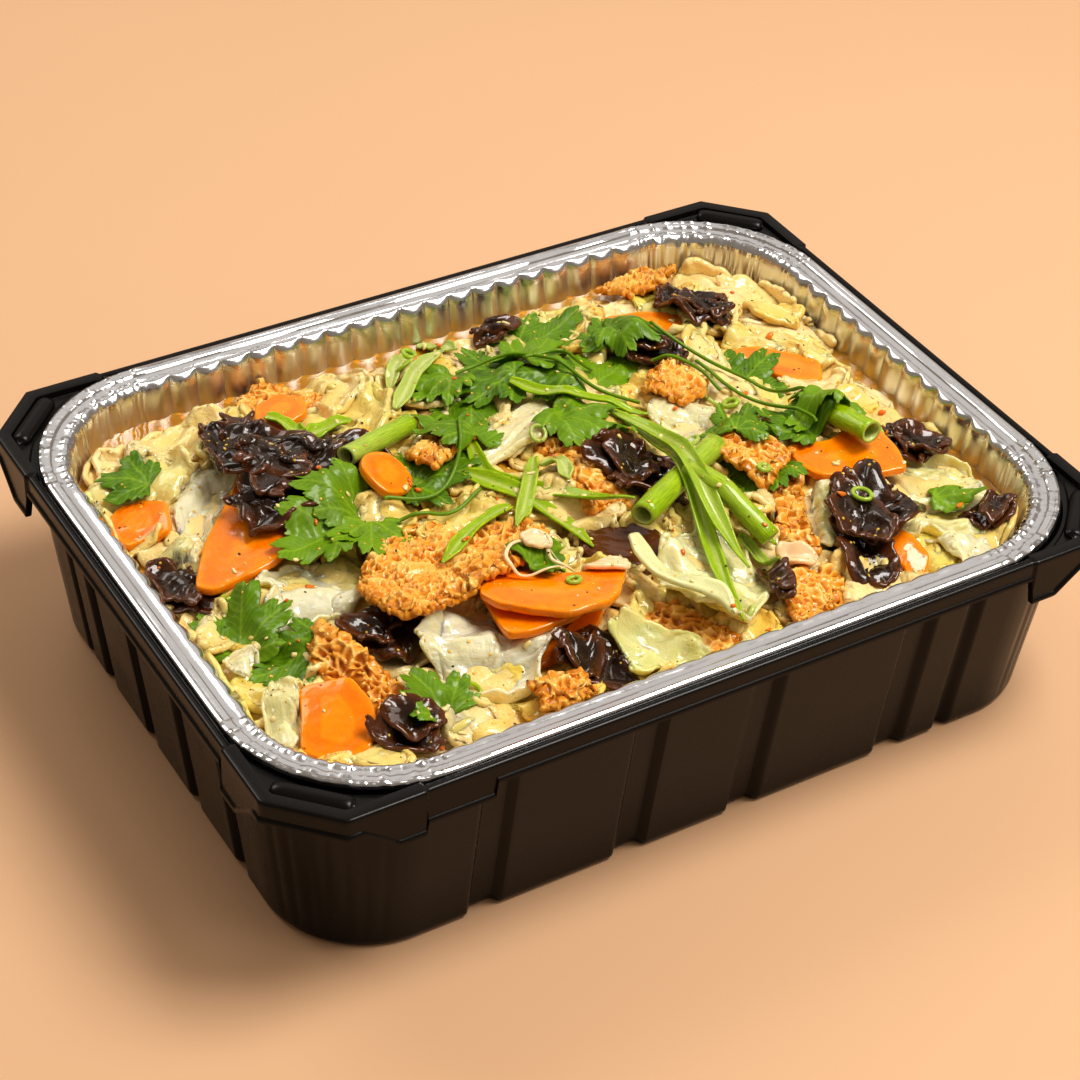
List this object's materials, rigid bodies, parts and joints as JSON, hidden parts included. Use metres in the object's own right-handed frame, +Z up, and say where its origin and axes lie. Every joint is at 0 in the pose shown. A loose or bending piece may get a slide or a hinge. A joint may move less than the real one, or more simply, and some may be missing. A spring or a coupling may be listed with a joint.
{
  "type": "foil tray meal",
  "caption": "Vegetable stew of cabbage, carrot, wood ear and fried bean curd in a pleated foil tray that hangs in a grooved black plastic outer tray.",
  "frame": {"origin": "middle of the outer tray's flat underside", "axes": "+X along the long side, +Y along the short side to the back, +Z up"},
  "size_m": [0.3246, 0.2454, 0.0928],
  "materials": {
    "outer_tray": "satin black moulded plastic",
    "foil_tray": "bright crimped foil",
    "broth": "amber vegetable broth, wet and oily",
    "chopped_cabbage": "pale yellow cooked chopped cabbage, wet",
    "cabbage": "translucent cooked cabbage leaf, wet",
    "carrot": "cooked orange carrot, wet",
    "bean_curd": "crinkly fried bean curd, oily",
    "wood_ear": "dark glossy wood ear fungus",
    "coriander": "fresh green leaf",
    "spring_onion": "fresh green onion leaf",
    "onion_white": "pale onion shred"
  },
  "bodies": {
    "root": {"broth": "broth", "cabbage_centre_stem": "cabbage", "cabbage_dome": "cabbage", "cabbage_front_leaf": "cabbage", "cabbage_heap": "chopped_cabbage", "cabbage_left_leaf": "cabbage", "cabbage_left_stem": "cabbage", "cabbage_right": "cabbage", "cabbage_right_front": "cabbage", "cabbage_striped": "cabbage", "carrot_back": "carrot", "carrot_back_right": "carrot", "carrot_centre_low": "carrot", "carrot_centre_top": "carrot", "carrot_front": "carrot", "carrot_left_blade": "carrot", "carrot_left_edge": "carrot", "carrot_right_big": "carrot", "carrot_right_small": "carrot", "carrot_third": "carrot", "coriander_back": "coriander", "coriander_big": "coriander", "coriander_mid_right": "coriander", "coriander_middle_a": "coriander", "coriander_middle_b": "coriander", "coriander_middle_c": "coriander", "coriander_right": "coriander", "coriander_small_a": "coriander", "coriander_small_b": "coriander", "coriander_small_c": "coriander", "coriander_top": "coriander", "curd_big": "bean_curd", "curd_centre_back": "bean_curd", "curd_centre_front": "bean_curd", "curd_front_strip": "bean_curd", "curd_left_back": "bean_curd", "curd_right_front": "bean_curd", "curd_under": "bean_curd", "curd_upright": "bean_curd", "foil_tray": "foil_tray", "fungus_back": "wood_ear", "fungus_centre": "wood_ear", "fungus_cup": "wood_ear", "fungus_front_centre": "wood_ear", "fungus_front_low": "wood_ear", "fungus_left_back": "wood_ear", "fungus_left_big": "wood_ear", "fungus_left_small": "wood_ear", "fungus_oval": "wood_ear", "fungus_right": "wood_ear", "fungus_right_back": "wood_ear", "onion_blade_cross": "spring_onion", "onion_blade_long": "spring_onion", "onion_blade_lower": "spring_onion", "onion_blade_upper": "spring_onion", "onion_curl": "onion_white", "onion_stick": "spring_onion", "onion_tube_left": "spring_onion", "onion_tube_thick": "spring_onion", "outer_tray": "outer_tray"}
  },
  "joints": []
}
